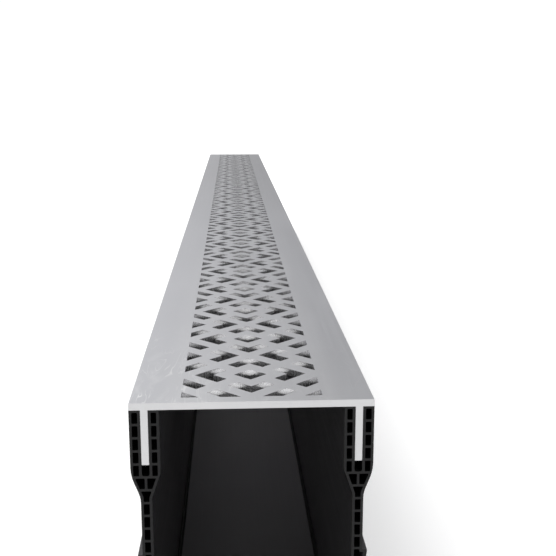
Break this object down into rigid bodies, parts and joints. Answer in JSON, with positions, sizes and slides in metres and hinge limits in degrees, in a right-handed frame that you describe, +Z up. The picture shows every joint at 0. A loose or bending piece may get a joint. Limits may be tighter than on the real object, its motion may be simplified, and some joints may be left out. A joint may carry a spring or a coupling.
{
  "type": "channel drain",
  "caption": "Linear channel drain: perforated aluminium grating hung by its legs in the forked walls of a black twin-wall plastic trough.",
  "frame": {"origin": "middle of the length, on the underside of the trough's floor, in the middle plane", "axes": "+Y along the drain, +X across it, +Z up through the grating"},
  "size_m": [0.1, 1.5, 0.15],
  "materials": {
    "channel_plastic": "black extruded plastic, satin faces, sawn ends",
    "grate_aluminium": "satin, brushed along the length"
  },
  "bodies": {
    "root": {"channel_body": "channel_plastic", "grate": "grate_aluminium"}
  },
  "joints": []
}
